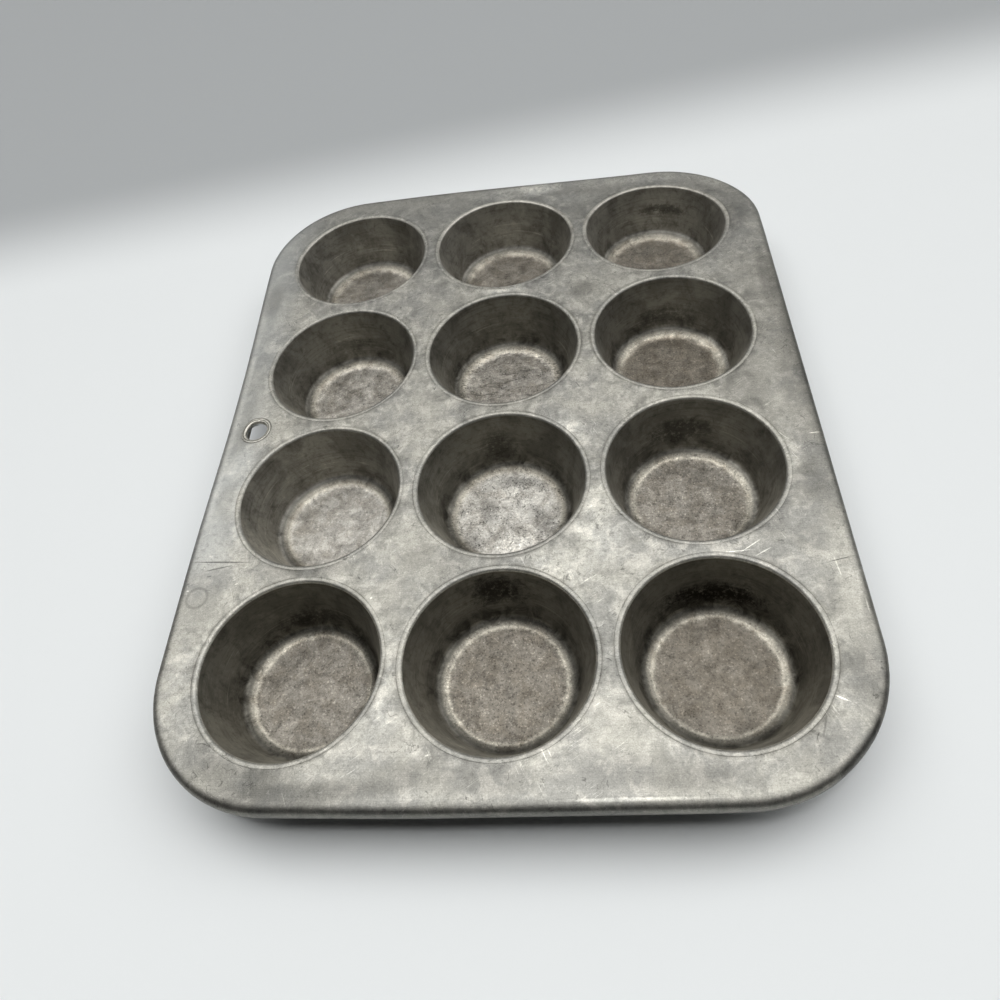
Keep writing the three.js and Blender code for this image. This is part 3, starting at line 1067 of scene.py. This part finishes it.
def outside_material():
    """The stained outside of the cups."""
    paint = Paint("outside_metal")
    cloud = paint.noise(0.7 * CLOUD, 31, 6.0, 0.6, 0.6)
    fine = paint.noise(MOTTLE, 32, 4.0, 0.65)
    colour = paint.blend(paint.smooth(cloud, 0.4, 0.66), STAIN, GRIME)
    colour = paint.dim(colour, 0.3, paint.smooth(fine, 0.5, 0.25))
    roughness = paint.maths("MULTIPLY_ADD", cloud, ROUGHNESS_SPREAD, OUTSIDE_ROUGHNESS)
    return paint.finish(colour, roughness, fine, RELIEF)


def mixed(first, second, share):
    """A colour between two, at that share of the way."""
    return tuple(a + (b - a) * share for a, b in zip(first, second))


def patch(mouth, degrees, share, half_width, half_height):
    """A burnt patch of the wall: where it lies, as an angle from the X axis and a share of the
    height, and its half sizes in millimetres."""
    foot = FLOOR_RADIUS + FLOOR_FILLET
    radius = foot + share * (mouth - foot)
    angle = math.radians(degrees)
    height = SHEET + FLOOR_FILLET + share * PATCH_RISE * TOP
    return {
        "patch_place": (radius * math.cos(angle), radius * math.sin(angle), height),
        "patch_size": (half_width * MM, PATCH_REACH * mouth, half_height * MM),
    }


def row_looks(mouth):
    """The looks that the cups of a row share. Rubbed, speckled, cracked, waved and marks are the
    floor's, bare, burnt and the patch are the wall's, and fillet_brightening is the fillet's. Ringed,
    ring_width, gaps and sides belong to the bright ring in the floor's edge, partly wear and partly a
    painted highlight."""
    common = {
        "rubbed": 0.35, "speckled": 0.7, "cracked": 0.15, "waved": 0, "marks": [],
        "ringed": 0.6, "ring_width": 2.8 * MM, "gaps": 0.35, "sides": 0.15,
        "bare": 0.4, "burnt": 0.1, "fillet_brightening": 0, **patch(mouth, 90, 0.5, 12, 8),
    }
    back = dict(common, ringed=1.0, ring_width=5 * MM, speckled=0.5, bare=1.0)
    second = dict(common, ringed=1.4, ring_width=5 * MM, gaps=0.22, bare=0.75)
    front = dict(common, ringed=0.6, ring_width=2.6 * MM, gaps=0.2, sides=0.6)
    return back, second, common, front


def cup_looks(mouth):
    """How each cup differs from its row, and the seed of its noises."""
    back, second, third, front = row_looks(mouth)
    low = patch(mouth, 90, 0.22, 17, 5)
    looks = {
        "cup_r1_c1": dict(back, rubbed=0.3),
        "cup_r1_c2": dict(back, rubbed=0.22),
        "cup_r1_c3": dict(back, **patch(mouth, 75, 0.43, 16, 3), rubbed=0.18, burnt=0.6),
        "cup_r2_c1": dict(second, **patch(mouth, 96, 0.3, 15, 3), rubbed=0.45, burnt=0.4,
                          cracked=0.35, ringed=1.0),
        "cup_r2_c2": dict(second, rubbed=0.4, bare=0.65, cracked=0.45, waved=0.45),
        "cup_r2_c3": dict(second, **low, rubbed=0.12, burnt=0.5, fillet_brightening=1.2),
        "cup_r3_c1": dict(third, rubbed=0.6, speckled=0.5, bare=1.0, ringed=0.75,
                          ring_width=4 * MM, gaps=0.25, sides=0.45),
        "cup_r3_c2": dict(third, **patch(mouth, 97, 0.35, 8, 9), rubbed=0.75, bare=0.55,
                          burnt=0.5, cracked=0.6, ringed=0.3, marks=WHITE_FLOOR_MARKS),
        "cup_r3_c3": dict(third, **patch(mouth, 92, 0.38, 16, 6), rubbed=0.26, speckled=0.9,
                          bare=0.7, burnt=0.65, ringed=0.8, gaps=0.25, fillet_brightening=0.9),
        "cup_r4_c1": dict(front, **low, rubbed=0.24, speckled=0.8, burnt=0.6),
        "cup_r4_c2": dict(front, **patch(mouth, 94, 0.6, 13, 8), rubbed=0.18, speckled=0.9,
                          bare=0.5, burnt=0.85),
        "cup_r4_c3": dict(front, **patch(mouth, 82, 0.25, 26, 6), rubbed=0.14, burnt=0.95,
                          fillet_brightening=0.9),
    }
    return {name: dict(looks[name], seed=FIRST_SEED + SEED_STEP * i) for i, name in enumerate(CUPS)}


# Stage, light and camera

# The table is pale, and grey beyond a slanting line behind the pan
TABLE_PALE = tone(233, 236, 236)
TABLE_GREY = tone(171, 174, 175)
TABLE_SLANT = -0.12
TABLE_CHANGE = (200 * MM, 320 * MM)
TABLE_HALF = 4000 * MM

# Levels of the light: its ceiling, what is dark, the wall behind the pan, and what the camera sees
SKY_BRIGHT = 2.8
SKY_DARK = 0.03
SKY_WALL = 0.3
SKY_SEEN = 0.8

# Directions between which the light changes, as parts of a unit vector to the sky
CEILING_NEAR = (-0.1, -0.02)
CEILING_FAR = (0.68, 0.5)
CEILING_LEFT = (-0.74, -0.54)
CEILING_RIGHT = (0.92, 0.72)
BACK_WALL_SLOPE = -0.9
BACK_WALL_TOP = (0.12, -0.12)

LAMP_SIZE = 120 * MM
LAMP_WATTS = 1.1
LAMP_PLACE = Vector((0, -232, 1000)) * MM


def floor_material():
    paint = Paint("floor_paint", 0.0)
    x, y, _ = paint.axes(paint.place)
    far = paint.smooth(paint.maths("MULTIPLY_ADD", x, TABLE_SLANT, y), *TABLE_CHANGE)
    paint.feed(paint.shader.inputs["Base Color"], paint.blend(far, TABLE_PALE, TABLE_GREY))
    paint.shader.inputs["Roughness"].default_value = 0.6
    paint.shader.inputs["Specular IOR Level"].default_value = 0.2
    return paint.material


def floor_piece():
    """The floor lies a hair under the feet, so that they don't share a plane."""
    mesh = bpy.data.meshes.new("floor")
    corners = [(-1, -1), (1, -1), (1, 1), (-1, 1)]
    points = [(x * TABLE_HALF, y * TABLE_HALF, -HAIRLINE) for x, y in corners]
    mesh.from_pydata(points, [], [(0, 1, 2, 3)])
    mesh.materials.append(floor_material())
    made = bpy.data.objects.new("floor", mesh)
    bpy.context.scene.collection.objects.link(made)


def studio_world():
    """A bright ceiling from overhead to behind the pan, a grey wall low behind it, and dark in
    front of it. The camera sees it pale."""
    world = bpy.data.worlds.new("studio")
    bpy.context.scene.world = world
    world.use_nodes = True
    sky = Nodes(world.node_tree, "Generated")
    x, y, z = sky.axes(sky.place)
    ceiling = sky.times(sky.smooth(y, *CEILING_NEAR), sky.smooth(y, *CEILING_FAR))
    across = sky.times(sky.smooth(x, *CEILING_LEFT), sky.smooth(x, *CEILING_RIGHT))
    ceiling = sky.times(ceiling, across)
    level = sky.maths("MULTIPLY_ADD", ceiling, SKY_BRIGHT - SKY_DARK, SKY_DARK)
    wall = sky.smooth(sky.maths("MULTIPLY_ADD", y, BACK_WALL_SLOPE, z), *BACK_WALL_TOP)
    level = sky.add("ShaderNodeMix", {0: wall, 2: level, 3: SKY_WALL}).outputs[0]
    seen = sky.add("ShaderNodeLightPath").outputs["Is Camera Ray"]
    level = sky.add("ShaderNodeMix", {0: seen, 2: level, 3: SKY_SEEN}).outputs[0]
    background = world.node_tree.nodes["Background"]
    sky.feed(background.inputs["Strength"], level)
    background.inputs["Color"].default_value = (1, 1, 1, 1)


def ceiling_lamp():
    light = bpy.data.lights.new("ceiling", "AREA")
    light.shape = "DISK"
    light.size = LAMP_SIZE
    light.energy = LAMP_WATTS
    lamp = bpy.data.objects.new("ceiling", light)
    lamp.location = LAMP_PLACE
    bpy.context.scene.collection.objects.link(lamp)


def photo_camera():
    data = bpy.data.cameras.new("camera")
    data.sensor_width = SENSOR_WIDTH_MM
    data.lens = SENSOR_WIDTH_MM * FOCAL_PIXELS / FRAME_PIXELS
    data.clip_start = NEAREST_SEEN
    camera = bpy.data.objects.new("camera", data)
    camera.location = CAMERA_PLACE
    camera.rotation_euler = Euler([math.radians(turn) for turn in CAMERA_TURN_DEGREES], "XYZ")
    bpy.context.scene.collection.objects.link(camera)
    bpy.context.scene.camera = camera


def dress(piece, node):
    """Fixes a piece to the pan's one body, in the place of its node."""
    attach(piece, "root")
    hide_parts(node)


def build():
    photo_camera()
    cup_seats = {name: Seat(name, SHEET, LIP_WIDTH - SHEET, SEAT_EDGE, MOUTH_STEPS) for name in CUPS}
    eyelet = Seat("hang_eyelet", EYELET_SHEET, EYELET_FLANGE - EYELET_SHEET, SEAT_EDGE, EYELET_STEPS)
    metal = deck_material(list(cup_seats.values()))
    outside = outside_material()
    dress(deck_piece([*cup_seats.values(), eyelet], [metal]), "pan_deck")
    looks = cup_looks(mouth_radius(cup_seats[CUPS[0]]))
    for name, seat in cup_seats.items():
        inside = cup_material(name + "_metal", seat, looks[name])
        dress(cup_piece(name, seat, [inside, outside]), name)
    dress(eyelet_piece(eyelet, [eyelet_material(eyelet)]), "hang_eyelet")
    floor_piece()
    studio_world()
    ceiling_lamp()
    bpy.context.scene.view_settings.view_transform = "Standard"


build()
